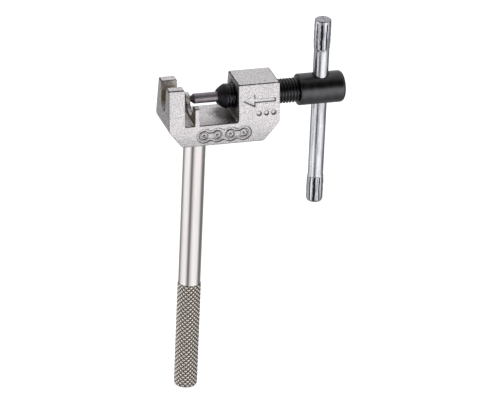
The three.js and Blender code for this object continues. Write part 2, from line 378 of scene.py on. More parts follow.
def hemisphere_rays():
    """Directions spread evenly over the outlook of a surface that faces +Z."""
    golden = math.pi * (3 - math.sqrt(5))
    rays = []
    for i in range(RECESS_RAYS):
        height = 1 - (i + 0.5) / RECESS_RAYS
        spread = math.sqrt(1 - height * height)
        rays.append(Vector((spread * math.cos(golden * i), spread * math.sin(golden * i), height)))
    return rays


def closed_off(mesh, wall_sets, reach):
    """How much of each point's outlook each set of walls closes off, from 0 to 1.

    A ray that hits several sets counts for the first of them in the list.
    """
    trees = [search_tree(walls) for walls in wall_sets]
    rays = hemisphere_rays()
    total = sum(ray.z for ray in rays)
    shares = np.zeros((len(trees), len(mesh.vertices)))
    for i, vertex in enumerate(mesh.vertices):
        turn = vertex.normal.to_track_quat("Z", "Y")
        start = vertex.co + vertex.normal * RAY_LIFT
        for ray in rays:
            heading = turn @ ray
            for tree, share in zip(trees, shares):
                if tree.ray_cast(start, heading, reach)[0] is not None:
                    share[i] += ray.z / total
                    break
    return shares


def store(mesh, name, values):
    """Keeps a value per point on the mesh, for its material to read."""
    mesh.attributes.new(name, "FLOAT", "POINT").data.foreach_set("value", values.astype(np.float32))


def mark_recesses(casting, spindle):
    """Stores where the casting is closed in by its own walls, less where it faces up, for dull plate and
    painted shade, and where the black spindle shades it, for painted shade.
    """
    shade, walls = closed_off(casting, [spindle, casting], CASTING_RECESS_REACH)
    x, y, z = coordinates(casting).T
    # Painted shade in a recess is lighter on surfaces that face up, as if lit from above.
    lit = LIT_FROM_ABOVE * smoothstep(*LIT_FACING, normals(casting)[:, 2])
    engraved = smoothstep(*CLEAN_REACH, mark_distance(x, z)) * (y < FRONT_Y)
    store(casting, "shade", shade)
    store(casting, "recess", walls * (1 - lit) * (1 - engraved))


def mark_edges(mesh):
    """Stores how sharply the casting turns over its edges, and the outlines of its marks: all dark. Both
    are painted shade: along the rounded edges that face up or to the front-left, and round the marks, with
    grime in their engraving.
    """
    points = coordinates(mesh)
    facing = normals(mesh)
    pairs = np.empty(len(mesh.edges) * 2, np.int32)
    mesh.edges.foreach_get("vertices", pairs)
    first, second = pairs.reshape(-1, 2).T
    step = points[second] - points[first]
    bend = ((facing[second] - facing[first]) * step).sum(axis=1) / (step * step).sum(axis=1)
    sharpness = np.zeros(len(points))
    np.maximum.at(sharpness, first, bend)
    np.maximum.at(sharpness, second, bend)
    on_top = smoothstep(*EDGE_FACING_UP, facing[:, 2])
    faces_left = smoothstep(*EDGE_FACING_LEFT, -facing[:, 0])
    faces_front = smoothstep(*EDGE_FACING_LEFT, -facing[:, 1])
    on_left = faces_left * faces_front
    x, y, z = points.T
    outline = mark_distance(x, z)
    clear = smoothstep(*EDGES_CLEAR_OF_MARKS, outline)
    turned = smoothstep(*EDGE_BEND, sharpness) * np.maximum(on_top, on_left) * clear
    turned *= smoothstep(*EDGES_CLEAR_OF_AXIS, np.hypot(y, z - AXIS_Z))
    values = turned.copy()
    np.maximum.at(values, first, EDGE_SPREAD * turned[second])
    np.maximum.at(values, second, EDGE_SPREAD * turned[first])
    # Painted shade, with grime in the engraving, along the outlines of the marks on the front.
    outline_grime_and_shade = MARK_GRIME_AND_SHADE * smoothstep(*GRIME_AND_SHADE_REACH, np.abs(outline)) * (y < FRONT_Y)
    store(mesh, "edge", np.maximum(values, outline_grime_and_shade))


def frame_mesh(spindle):
    """The CAD frame made into a casting: rounded, roughened and marked, with the values stored on it."""
    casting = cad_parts["frame"].data.copy()
    casting.transform(Matrix.Scale(1 / MM, 4))
    casting = modified(
        casting,
        ("REMESH", {"mode": "VOXEL", "voxel_size": CASTING_VOXEL}),
        ("SMOOTH", CASTING_SMOOTHING),
    )
    points = coordinates(casting)
    facing = normals(casting)
    roughen(points, facing)
    engrave(points, facing)
    set_coordinates(casting, np.clip(points, np.array(FRAME_LOW), np.array(FRAME_HIGH)))
    triangles = 2 * len(casting.polygons)
    casting = modified(casting, ("DECIMATE", {"ratio": CASTING_FACES / triangles}))
    mark_recesses(casting, spindle)
    mark_edges(casting)
    return casting


# ---- Handle -------------------------------------------------------------------------------


def knurl_height(along, turn):
    """Height of the diamonds, from 0 in the grooves to 1 on top: two sets of grooves that cross."""
    right = (KNURL_STARTS * turn / (2 * math.pi) + along / KNURL_PITCH) % 1
    left = (KNURL_STARTS * turn / (2 * math.pi) - along / KNURL_PITCH) % 1
    from_grooves = np.minimum(1 - np.abs(2 * right - 1), 1 - np.abs(2 * left - 1))
    return smoothstep(*KNURL_SLOPE, from_grooves)


def grip_radius(along, turn):
    """Radius along the knurled grip, from its rounded end up to where the plain shank starts."""
    on_grip = smoothstep(KNURL_TOP, KNURL_TOP - KNURL_FADE, along)
    fade = smoothstep(KNURL_START, KNURL_START + KNURL_FADE, along) * on_grip
    groove = KNURL_DEPTH * (1 - knurl_height(along, turn))
    rim = np.clip(1 - along / GRIP_END_ROUND, 0, 1)
    round_end = GRIP_END_ROUND * (1 - np.sqrt(1 - rim * rim))
    outer = HANDLE_RADIUS + (KNURL_RADIUS - HANDLE_RADIUS) * on_grip
    return outer - fade * groove - round_end


def handle_mesh():
    """Grip, shank and the spigot inside the frame, turned in one."""
    turn = angles(HANDLE_SIDES)
    shank_end = KEEL_Z - SHOULDER_CHAMFER
    rings = [(0.0, radius) for radius in HANDLE_END_RINGS]
    rings += [(along, grip_radius(along, turn)) for along in np.arange(0.0, KNURL_TOP, KNURL_STEP)]
    rings += [(along, HANDLE_RADIUS) for along in np.linspace(KNURL_TOP, shank_end, SHANK_RINGS)]
    rings.append((KEEL_Z, HANDLE_RADIUS - SHOULDER_CHAMFER))
    rings.append((KEEL_Z, SPIGOT_RADIUS))
    rings.append((HANDLE_HIGH.z, SPIGOT_RADIUS))
    return turned_mesh("handle", rings, HANDLE_SIDES, "Z", (0, 0, 0))


# ---- Spindle ------------------------------------------------------------------------------


def thread_radius(along, turn):
    """Right-hand thread: its crest moves one pitch along +X for each turn from +Y towards +Z."""
    phase = ((along - NOSE_BASE_X) / THREAD_PITCH - turn / (2 * math.pi)) % 1
    crest = smoothstep(*THREAD_FLANK, 1 - np.abs(2 * phase - 1))
    run_in = smoothstep(0, THREAD_PITCH, along - NOSE_BASE_X)
    return THREAD_CREST - (THREAD_CREST - THREAD_ROOT) * (1 - crest) * run_in


def nose_rings(steps=12):
    """The nose, a cone that swells a little between its ends."""
    rings = []
    for step in range(steps):
        share = step / steps
        swell = NOSE_BULGE * math.sin(math.pi * share)
        radius = NOSE_RADIUS + (THREAD_CREST - NOSE_RADIUS) * share + swell
        rings.append((SPINDLE_LOW.x + (NOSE_BASE_X - SPINDLE_LOW.x) * share, radius))
    return rings


def bar_hole():
    """A cutter for the hole across the head, flared where it breaks through the surface."""
    reach = HEAD_RADIUS + CUTTER_MARGIN
    wide = BAR_HOLE_RADIUS + BAR_HOLE_FLARE + CUTTER_MARGIN
    start = HEAD_RADIUS - BAR_HOLE_FLARE
    rings = [(-reach, wide), (-start, BAR_HOLE_RADIUS), (start, BAR_HOLE_RADIUS), (reach, wide)]
    mesh = turned_mesh("bar_hole", rings, SPINDLE_SIDES, "Z", (BAR_X, 0, AXIS_Z))
    cutter = bpy.data.objects.new("bar_hole", mesh)
    bpy.context.scene.collection.objects.link(cutter)
    return cutter


def spindle_mesh():
    """Pocket, lip, nose, thread and head, turned in one, with the hole for the bar cut across the head."""
    turn = angles(SPINDLE_SIDES)
    start = SPINDLE_LOW.x
    rings = [(POCKET_END_X, POCKET_RADIUS), (start + LIP_LENGTH, POCKET_RADIUS)]
    rings += [(start + LIP_LENGTH, LIP_RADIUS), (start, LIP_RADIUS)]
    rings += nose_rings()
    for along in np.arange(NOSE_BASE_X, HEAD_X, THREAD_STEP):
        rings.append((along, thread_radius(along, turn)))
    rings.append((HEAD_X, THREAD_ROOT))
    edge = HEAD_RADIUS - HEAD_FRONT_ROUND
    rings += quarter_round(edge, HEAD_X + HEAD_FRONT_ROUND, HEAD_FRONT_ROUND, 180, 90)
    body_end = SPINDLE_HIGH.x - HEAD_END_ROUND
    for along in np.arange(HEAD_X + HEAD_FRONT_ROUND + HEAD_STEP, body_end, HEAD_STEP):
        rings.append((along, HEAD_RADIUS))
    rings += quarter_round(HEAD_RADIUS - HEAD_END_ROUND, body_end, HEAD_END_ROUND, 90, 0, steps=10)
    rings.append((SPINDLE_HIGH.x, HEAD_END_RING))
    mesh = turned_mesh("spindle", rings, SPINDLE_SIDES, "X", (0, 0, AXIS_Z))
    cutter = bar_hole()
    mesh = modified(mesh, ("BOOLEAN", {"operation": "DIFFERENCE", "object": cutter, "solver": "EXACT"}))
    bpy.data.objects.remove(cutter)
    return mesh


# ---- Driver pin ---------------------------------------------------------------------------


def driver_pin_mesh():
    """Conical tip, shank and the collar inside the nose, turned in one."""
    tip = PIN_LOW.x
    cone_end = tip + PIN_CONE_LENGTH
    collar = SPINDLE_LOW.x + LIP_LENGTH + PIN_COLLAR_GAP
    flat_radius = PIN_TIP_RADIUS - PIN_TIP_ROUND
    tip_round = tip + PIN_TIP_ROUND
    rings = quarter_round(flat_radius, tip_round, PIN_TIP_ROUND, 180, PIN_TIP_ROUND_END, steps=4)
    rings.append((cone_end - PIN_SHOULDER_START, PIN_RADIUS - PIN_SHOULDER_DROP))
    rings.append((cone_end + PIN_SHOULDER_END, PIN_RADIUS))
    for along in np.linspace(cone_end + PIN_SHANK_START, collar, PIN_SHANK_RINGS):
        rings.append((along, PIN_RADIUS))
    rings += [(collar, PIN_HIGH.y), (PIN_HIGH.x, PIN_HIGH.y)]
    return turned_mesh("driver_pin", rings, PIN_SIDES, "X", (0, 0, AXIS_Z))


# ---- Tommy bar ----------------------------------------------------------------------------


def flutes(turn, depth):
    """Depth of the pressed grooves round the bar. Each has its own depth and width and wanders a little."""
    place = (turn - FLUTE_TURN) * FLUTES / (2 * math.pi) + 0.5
    number = np.floor(place).astype(int) % FLUTES
    drift = FLUTE_DRIFT * np.sin(FLUTE_WAVE * depth + FLUTE_PHASE * number)
    across = np.abs(place % 1 - 0.5 + drift)
    half_width = np.array(FLUTE_HALF_WIDTHS)[number]
    return np.array(FLUTE_DEPTHS)[number] * smoothstep(half_width, FLUTE_FLOOR * half_width, across)


def rim_round(depth, size, drop):
    """How far a rounded rim has pulled in, at a depth below the end face."""
    rise = max(0.0, 1 - depth / size)
    return drop * (1 - math.sqrt(1 - rise * rise))


def stake_radius(stake, depth, turn):
    """Radius at a depth below the bar's end, within one swaged end. It stops at a ledge on the shaft."""
    length = stake["length"]
    swell = STAKE_END_SHARE + (1 - STAKE_END_SHARE) * smoothstep(0, STAKE_SWELL_END * length, depth)
    ledge = STAKE_LEDGE_SHARE * smoothstep(length, length - LEDGE_LENGTH, depth)
    taper = STAKE_TAPER_SHARE * smoothstep(length, STAKE_TAPER_START * length, depth)
    barrel = BAR_RADIUS + (STAKE_RADIUS - BAR_RADIUS) * swell * (ledge + taper)
    start = stake["grooves_from"]
    pressed = smoothstep(start, start + FLUTE_RUN_IN, depth)
    pressed *= smoothstep(length, length - FLUTE_RUN_OUT, depth)
    return barrel - pressed * flutes(turn, depth) - rim_round(depth, stake["rim"], stake["drop"])


def end_face(stake, turn, level, inwards):
    """Rings of a rough sheared end, from near its middle out to the rim."""
    radius = np.min(stake_radius(stake, 0.0, turn))
    around = [Vector((math.cos(angle), math.sin(angle), level)) for angle in turn]
    rings = []
    for share in np.linspace(*SHEARED_SHARES, SHEARED_RINGS):
        bumps = np.array([noise.noise(point * radius * share * SHEARED_BUMP_SCALE) for point in around])
        sunk = np.maximum(0.0, SHEARED_MEAN + SHEARED_BUMPS * bumps)
        rings.append((level + inwards * sunk, radius * share))
    return rings


def tommy_bar_mesh():
    """From the lower end face up through one swaged end, the shaft and the other."""
    turn = angles(BAR_SIDES)
    top = BAR_HIGH.z
    bottom = BAR_LOW.z
    rings = end_face(LOWER_STAKE, turn, bottom, 1)
    for depth in np.arange(0, LOWER_STAKE["length"], STAKE_STEP):
        rings.append((bottom + depth, stake_radius(LOWER_STAKE, depth, turn)))
    for along in np.arange(LOWER_STAKE_START, UPPER_STAKE_START, SHAFT_STEP):
        rings.append((along, BAR_RADIUS))
    for depth in np.arange(UPPER_STAKE["length"], -STAKE_STEP_SLACK, -STAKE_STEP):
        rings.append((top - depth, stake_radius(UPPER_STAKE, max(depth, 0.0), turn)))
    rings += reversed(end_face(UPPER_STAKE, turn, top, -1))
    mesh = turned_mesh("tommy_bar", rings, BAR_SIDES, "Z", (BAR_X, 0, 0))
    # The stored recess values give the flutes their painted shade.
    store(mesh, "recess", closed_off(mesh, [mesh], FLUTE_RECESS_REACH)[0])
    return mesh


# ---- Materials ----------------------------------------------------------------------------


class Finish:
    """A Principled material being wired up. Each method adds one node and returns its output."""

    def __init__(self, name, **constants):
        self.material = bpy.data.materials.new(name)
        self.material.use_nodes = True
        self.tree = self.material.node_tree
        self.shader = self.tree.nodes["Principled BSDF"]
        for key, value in constants.items():
            self.shader.inputs[key.replace("_", " ").title()].default_value = value
        place = self.tree.nodes.new("ShaderNodeTexCoord")
        scale = self.tree.nodes.new("ShaderNodeMapping")
        scale.inputs["Scale"].default_value = (1 / MM, 1 / MM, 1 / MM)
        self.tree.links.new(place.outputs["Object"], scale.inputs["Vector"])
        self.millimetres = scale.outputs["Vector"]

    def put(self, socket, value):
        if isinstance(value, bpy.types.NodeSocket):
            self.tree.links.new(value, socket)
        else:
            socket.default_value = value

    def wire(self, **inputs):
        for key, value in inputs.items():
            self.put(self.shader.inputs[key.replace("_", " ").title()], value)

    def stretched(self, x, y, z):
        node = self.tree.nodes.new("ShaderNodeMapping")
        node.inputs["Scale"].default_value = (x, y, z)
        self.put(node.inputs["Vector"], self.millimetres)
        return node.outputs["Vector"]

    def noise(self, scale, detail=2.0, place=None, roughness=0.5):
        node = self.tree.nodes.new("ShaderNodeTexNoise")
        self.put(node.inputs["Vector"], place or self.millimetres)
        node.inputs["Scale"].default_value = scale
        node.inputs["Detail"].default_value = detail
        node.inputs["Roughness"].default_value = roughness
        return node.outputs["Fac"]

    def attribute(self, name):
        node = self.tree.nodes.new("ShaderNodeAttribute")
        node.attribute_name = name
        return node.outputs["Fac"]

    def split(self):
        node = self.tree.nodes.new("ShaderNodeSeparateXYZ")
        self.put(node.inputs["Vector"], self.millimetres)
        return node.outputs

    def math(self, operation, a, b=0.0):
        node = self.tree.nodes.new("ShaderNodeMath")
        node.operation = operation
        self.put(node.inputs[0], a)
        self.put(node.inputs[1], b)
        return node.outputs["Value"]

    def span(self, value, low, high, to_low=0.0, to_high=1.0):
        node = self.tree.nodes.new("ShaderNodeMapRange")
        node.interpolation_type = "SMOOTHSTEP"
        self.put(node.inputs["Value"], value)
        node.inputs["From Min"].default_value = low
        node.inputs["From Max"].default_value = high
        node.inputs["To Min"].default_value = to_low
        node.inputs["To Max"].default_value = to_high
        return node.outputs["Result"]

    def blend(self, share, a, b):
        node = self.tree.nodes.new("ShaderNodeMix")
        node.data_type = "RGBA"
        self.put(node.inputs["Factor"], share)
        self.put(node.inputs["A"], a)
        self.put(node.inputs["B"], b)
        return node.outputs["Result"]

    def bump(self, height, distance_mm, below=None):
        node = self.tree.nodes.new("ShaderNodeBump")
        node.inputs["Distance"].default_value = distance_mm * MM
        self.put(node.inputs["Height"], height)
        if below is not None:
            self.put(node.inputs["Normal"], below)
        return node.outputs["Normal"]

    def rougher(self, roughness, where, extra):
        """Roughness with some extra where a share is full."""
        return self.math("ADD", roughness, self.span(where, 0.0, 1.0, 0.0, extra))


# Colours are linear, scales are in waves per millimetre, and bumps are in millimetres. A noise mostly
# stays within MIDDLE. The other ranges say where a value starts to count and where it counts in full.
# A pair of shares or roughnesses is the lowest and the highest that a noise gives.
MIDDLE = (0.3, 0.7)

# Satin nickel, on the casting
NICKEL_PIT = (0.50, 0.475, 0.488, 1)
NICKEL_CROWN = (0.94, 0.905, 0.927, 1)
NICKEL_CLOUD = (0.62, 0.605, 0.61, 1)
# Painted shade along the rounded edges and round the marks.
NICKEL_EDGE = (0.08, 0.07, 0.065, 1)
# Dull brown plate, with painted shade, for the recesses.
NICKEL_DULL_AND_SHADE = (0.31, 0.248, 0.16, 1)
NICKEL_SHADE = (0.07, 0.063, 0.065, 1)
NICKEL_GRAIN_SCALE = 3.2
NICKEL_GRAIN_CONTRAST = 0.6
NICKEL_GRAIN_RANGE = (0.38, 0.58)
NICKEL_PEBBLE_SCALE = 1.1
NICKEL_CLOUD_SCALE = 0.16
NICKEL_CLOUD_SHARES = (0.0, 0.3)
NICKEL_RECESS_RANGE = (0.04, 0.42)
NICKEL_SHADE_RANGE = (0.07, 0.34)
NICKEL_EDGE_RANGE = (0.1, 0.8)
NICKEL_ROUGHNESS = (0.26, 0.36)
NICKEL_RECESS_ROUGHER = 0.1
NICKEL_PEBBLE_BUMP = 0.06
NICKEL_GRAIN_BUMP = 0.12

# Bright nickel, on the handle
SHANK_DARK = (0.80, 0.76, 0.755, 1)
SHANK_LIGHT = (0.87, 0.83, 0.825, 1)
SHANK_STREAK_SCALE = 1.6
SHANK_STREAK_STRETCH = (1.0, 1.0, 0.04)
SHANK_STREAK_BUMP = 0.008
SHANK_SPOT_SCALE = 1.1
SHANK_ROUGHNESS = (0.12, 0.17)
KNURL_CREST = (0.88, 0.81, 0.76, 1)
KNURL_GROOVE = (0.10, 0.08, 0.06, 1)
KNURL_GROOVE_RADII = (KNURL_RADIUS - 0.06, KNURL_RADIUS - 0.9 * KNURL_DEPTH)
KNURL_COLOUR_ENDS = (KNURL_TOP + 0.1, KNURL_TOP - 0.2)  # along the handle
KNURL_ROUGHER = 0.08

# Black oxide, on the spindle
HEAD_DARK = (0.085, 0.085, 0.090, 1)
HEAD_LIGHT = (0.112, 0.112, 0.118, 1)
THREAD_BLACK = (0.105, 0.104, 0.112, 1)
NOSE_BLACK = (0.05, 0.048, 0.058, 1)
LATHE_SCALE = 3.0
LATHE_STRETCH = (1.0, 0.06, 0.06)
LATHE_BUMP = 0.01
OXIDE_BLOTCH_SCALE = 0.5
OXIDE_GRAIN_SCALE = 6.0
OXIDE_GRAIN_BUMP = 0.012
OXIDE_ROUGHNESS = (0.24, 0.33)
NOSE_FADE = 0.4  # to each side of the nose's base
NOSE_ROUGHER = 0.22
HEAD_FADE = 0.3  # in front of the head

# Ground steel, on the driver pin
PIN_DARK = (0.37, 0.335, 0.37, 1)
PIN_LIGHT = (0.46, 0.42, 0.455, 1)
PIN_TIP = (0.15, 0.135, 0.14, 1)
PIN_TIP_FADE = (1.5, 0.9)  # distances from the tip
PIN_RING_SCALE = 9.0
PIN_RING_STRETCH = (1.0, 0.05, 0.05)
PIN_RING_BUMP = 0.008
PIN_CLOUD_SCALE = 0.9
PIN_ROUGHNESS = (0.44, 0.54)

# Zinc plate, on the tommy bar
ZINC_STREAK = (0.48, 0.49, 0.535, 1)
ZINC_DRAWN = (0.86, 0.87, 0.92, 1)
ZINC_SWAGED_STREAK = (0.32, 0.325, 0.35, 1)
ZINC_SWAGED = (0.80, 0.81, 0.86, 1)
ZINC_FLUTE_SHADE = (0.07, 0.07, 0.08, 1)
ZINC_STREAK_SCALE = 1.9
ZINC_STREAK_STRETCH = (1.0, 1.0, 0.05)
ZINC_STREAK_CONTRAST = 0.65
ZINC_STREAK_BUMP = 0.02
ZINC_DRAWN_RANGE = (0.36, 0.6)
ZINC_SWAGED_RANGE = (0.38, 0.58)
ZINC_FLUTE_SHADE_RANGE = (0.08, 0.45)
ZINC_BLOTCH_SCALE = 0.7
ZINC_PIT_SCALE = 2.4
ZINC_PIT_BUMP = 0.02
ZINC_ROUGHNESS = (0.17, 0.27)
SWAGED_FADE_OUTSIDE = 0.2  # along the bar, from where a swaged end starts
SWAGED_FADE_INSIDE = 0.6
SHEARED_DARK = (0.26, 0.255, 0.29, 1)
SHEARED_LIGHT = (0.72, 0.71, 0.77, 1)
SHEARED_SCALE = 1.6
SHEARED_CONTRAST = 0.7
SHEARED_RANGE = (0.35, 0.62)
SHEARED_ROUGHER = 0.15


def satin_nickel():
    """Nickel plate over a blasted casting, dull and brown where no polishing wheel reaches, with painted
    shade in its recesses, along its edges and under the spindle.
    """
    finish = Finish("satin_nickel", metallic=1.0)
    grain = finish.noise(NICKEL_GRAIN_SCALE, roughness=NICKEL_GRAIN_CONTRAST)
    pebbles = finish.noise(NICKEL_PEBBLE_SCALE)
    cloud = finish.noise(NICKEL_CLOUD_SCALE, detail=3)
    recess = finish.span(finish.attribute("recess"), *NICKEL_RECESS_RANGE)
    shade = finish.span(finish.attribute("shade"), *NICKEL_SHADE_RANGE)
    bright = finish.blend(finish.span(grain, *NICKEL_GRAIN_RANGE), NICKEL_PIT, NICKEL_CROWN)
    toned = finish.blend(finish.span(cloud, *MIDDLE, *NICKEL_CLOUD_SHARES), bright, NICKEL_CLOUD)
    # Painted shade: the stored edge values darken the rounded edges that face up or to the front-left, and
    # the outlines of the marks.
    edge_shaded = finish.blend(finish.span(finish.attribute("edge"), *NICKEL_EDGE_RANGE), toned, NICKEL_EDGE)
    # Dull brown plate and painted shade in the recesses.
    dulled_and_shaded = finish.blend(recess, edge_shaded, NICKEL_DULL_AND_SHADE)
    colour = finish.blend(shade, dulled_and_shaded, NICKEL_SHADE)
    grained = finish.span(grain, *MIDDLE, *NICKEL_ROUGHNESS)
    roughness = finish.rougher(grained, recess, NICKEL_RECESS_ROUGHER)
    coarse = finish.bump(pebbles, NICKEL_PEBBLE_BUMP)
    fine = finish.bump(grain, NICKEL_GRAIN_BUMP, below=coarse)
    finish.wire(base_color=colour, roughness=roughness, normal=fine)
    return finish.material


def bright_nickel():
    """Polished nickel on the rod, and the same plate darker in the grooves of the knurl."""
    finish = Finish("bright_nickel", metallic=1.0)
    place = finish.split()
    x_squared = finish.math("MULTIPLY", place["X"], place["X"])
    y_squared = finish.math("MULTIPLY", place["Y"], place["Y"])
    across = finish.math("SQRT", finish.math("ADD", x_squared, y_squared))
    streak = finish.noise(SHANK_STREAK_SCALE, detail=3, place=finish.stretched(*SHANK_STREAK_STRETCH))
    spots = finish.noise(SHANK_SPOT_SCALE, detail=3)
    shank = finish.blend(finish.span(streak, *MIDDLE), SHANK_DARK, SHANK_LIGHT)
    groove = finish.span(across, *KNURL_GROOVE_RADII)
    grip = finish.blend(groove, KNURL_CREST, KNURL_GROOVE)
    on_grip = finish.span(place["Z"], *KNURL_COLOUR_ENDS)
    colour = finish.blend(on_grip, shank, grip)
    spotted = finish.span(spots, *MIDDLE, *SHANK_ROUGHNESS)
    roughness = finish.rougher(spotted, on_grip, KNURL_ROUGHER)
    drawn = finish.bump(streak, SHANK_STREAK_BUMP)
    finish.wire(base_color=colour, roughness=roughness, normal=drawn)
    return finish.material


def black_oxide():
    """Blackened steel: a satin head with fine turning marks, and a darker, oily thread and nose."""
    finish = Finish("black_oxide", metallic=1.0)
    place = finish.split()
    lathe = finish.noise(LATHE_SCALE, place=finish.stretched(*LATHE_STRETCH))
    blotch = finish.noise(OXIDE_BLOTCH_SCALE, detail=3)
    grain = finish.noise(OXIDE_GRAIN_SCALE)
    head = finish.blend(finish.span(blotch, *MIDDLE), HEAD_DARK, HEAD_LIGHT)
    on_nose = finish.span(place["X"], NOSE_BASE_X + NOSE_FADE, NOSE_BASE_X - NOSE_FADE)
    oily = finish.blend(on_nose, THREAD_BLACK, NOSE_BLACK)
    colour = finish.blend(finish.span(place["X"], HEAD_X - HEAD_FADE, HEAD_X), oily, head)
    blotched = finish.span(blotch, *MIDDLE, *OXIDE_ROUGHNESS)
    roughness = finish.rougher(blotched, on_nose, NOSE_ROUGHER)
    turned = finish.bump(lathe, LATHE_BUMP)
    grained = finish.bump(grain, OXIDE_GRAIN_BUMP, below=turned)
    finish.wire(base_color=colour, roughness=roughness, normal=grained)
    return finish.material


def ground_steel():
    """Hardened steel, ground round and round, and darker at the tip."""
    finish = Finish("ground_steel", metallic=1.0)
    place = finish.split()
    rings = finish.noise(PIN_RING_SCALE, place=finish.stretched(*PIN_RING_STRETCH))
    cloud = finish.noise(PIN_CLOUD_SCALE)
    body = finish.blend(finish.span(cloud, *MIDDLE), PIN_DARK, PIN_LIGHT)
    fade_start, fade_end = PIN_TIP_FADE
    tip = finish.span(place["X"], PIN_LOW.x + fade_start, PIN_LOW.x + fade_end)
    colour = finish.blend(tip, body, PIN_TIP)
    roughness = finish.span(rings, *MIDDLE, *PIN_ROUGHNESS)
    finish.wire(base_color=colour, roughness=roughness, normal=finish.bump(rings, PIN_RING_BUMP))
    return finish.material


def zinc_plate():
    """Bright zinc on drawn wire, with the die's lengthwise streaks, painted shade in the flutes and rough
    ends.
    """
    finish = Finish("zinc_plate", metallic=1.0)
    place = finish.split()
    along = finish.stretched(*ZINC_STREAK_STRETCH)
    streak = finish.noise(ZINC_STREAK_SCALE, detail=4, place=along, roughness=ZINC_STREAK_CONTRAST)
    blotch = finish.noise(ZINC_BLOTCH_SCALE, detail=3)
    torn = finish.noise(SHEARED_SCALE, detail=4, roughness=SHEARED_CONTRAST)
    recess = finish.span(finish.attribute("recess"), *ZINC_FLUTE_SHADE_RANGE)
    drawn = finish.blend(finish.span(streak, *ZINC_DRAWN_RANGE), ZINC_STREAK, ZINC_DRAWN)
    upper_start = UPPER_STAKE_START - SWAGED_FADE_OUTSIDE
    upper_full = UPPER_STAKE_START + SWAGED_FADE_INSIDE
    lower_start = LOWER_STAKE_START + SWAGED_FADE_OUTSIDE
    lower_full = LOWER_STAKE_START - SWAGED_FADE_INSIDE
    above = finish.span(place["Z"], upper_start, upper_full)
    below = finish.span(place["Z"], lower_start, lower_full)
    swaged = finish.math("MAXIMUM", above, below)
    streaked = finish.blend(finish.span(streak, *ZINC_SWAGED_RANGE), ZINC_SWAGED_STREAK, ZINC_SWAGED)
    # Painted shade in the flutes, from the stored recess values.
    flute_shaded = finish.blend(recess, finish.blend(swaged, drawn, streaked), ZINC_FLUTE_SHADE)
    top = finish.span(place["Z"], BAR_HIGH.z - SHEARED_DEPTH, BAR_HIGH.z - SHEARED_FULL_DEPTH)
    bottom = finish.span(place["Z"], BAR_LOW.z + SHEARED_DEPTH, BAR_LOW.z + SHEARED_FULL_DEPTH)
    sheared = finish.math("MAXIMUM", top, bottom)
    end = finish.blend(finish.span(torn, *SHEARED_RANGE), SHEARED_DARK, SHEARED_LIGHT)
    colour = finish.blend(sheared, flute_shaded, end)
    blotched = finish.span(blotch, *MIDDLE, *ZINC_ROUGHNESS)
    roughness = finish.rougher(blotched, sheared, SHEARED_ROUGHER)
    pitted = finish.bump(finish.noise(ZINC_PIT_SCALE), ZINC_PIT_BUMP)
    drawn_marks = finish.bump(streak, ZINC_STREAK_BUMP, below=pitted)
    finish.wire(base_color=colour, roughness=roughness, normal=drawn_marks)
    return finish.material


# ---- Studio -------------------------------------------------------------------------------

CAMERA_AZIMUTH = math.radians(17.768)
CAMERA_ELEVATION = math.radians(25.742)
CAMERA_ROLL = math.radians(2.535)
CAMERA_DISTANCE = 1.5234  # metres, as are the target and the floor
CAMERA_TARGET = Vector((0.019132, 0.0, 0.063597))
CAMERA_LENS = 345.2  # millimetres
SENSOR_WIDTH = 36
CLIP_RANGE = (0.05, 50)

# Brightness of the studio round the object, near the horizon and high up: (azimuth, level), with the
# azimuth in degrees to the right of the camera.
LOW_LIGHT = (
    (-180, 0.80), (-162, 0.50), (-145, 0.42), (-129, 0.13), (-112, 0.58), (-90, 1.18),
    (-70, 1.32), (-42, 1.28), (-30, 0.55), (-18, 0.05), (-8, 0.22), (4, 0.78),
    (18, 1.30), (34, 1.36), (70, 1.32), (88, 0.70), (102, 0.12), (122, 0.10),
    (145, 0.24), (162, 0.50), (180, 0.80),
)
HIGH_LIGHT = (
    (-180, 0.80), (-125, 0.62), (-85, 0.22), (-45, 0.03),
    (45, 0.03), (85, 0.22), (125, 0.62), (180, 0.80),
)
ZENITH_LIGHT = 0.40
NADIR_LIGHT = 0.40

# Heights, from -1 straight down to 1 straight up, over which one light gives way to the next.
LOW_TO_HIGH = (0.0, 0.42)
HIGH_TO_ZENITH = (0.86, 0.99)
LOW_TO_NADIR = (-0.15, -1.0)

FLOOR_RADIUS = 12.0
FLOOR_SIDES = 64
FLOOR_GLOW = 0.86
FLOOR_ROUGHNESS = 0.9
FLOOR_TINT_SCALE = 0.02  # waves per millimetre
FLOOR_DARK = (0.90, 0.90, 0.90, 1)
FLOOR_LIGHT = (0.93, 0.93, 0.93, 1)


def view_axes():
    """The camera's forward, level-right and level-up directions."""
    flat = math.cos(CAMERA_ELEVATION)
    forward = Vector((
        math.sin(CAMERA_AZIMUTH) * flat,
        math.cos(CAMERA_AZIMUTH) * flat,
        -math.sin(CAMERA_ELEVATION),
    ))
    right = Vector((math.cos(CAMERA_AZIMUTH), -math.sin(CAMERA_AZIMUTH), 0))
    return forward, right, right.cross(forward)


def add_camera():
    forward, right, up = view_axes()
    across = right * math.cos(CAMERA_ROLL) + up * math.sin(CAMERA_ROLL)
    upright = up * math.cos(CAMERA_ROLL) - right * math.sin(CAMERA_ROLL)
    data = bpy.data.cameras.new("camera")
    data.lens = CAMERA_LENS
    data.sensor_width = SENSOR_WIDTH
    data.clip_start, data.clip_end = CLIP_RANGE
    camera = bpy.data.objects.new("camera", data)
    bpy.context.scene.collection.objects.link(camera)
    turn = Matrix((across, upright, -forward)).transposed().to_4x4()
    camera.matrix_world = Matrix.Translation(CAMERA_TARGET - forward * CAMERA_DISTANCE) @ turn
    bpy.context.scene.camera = camera


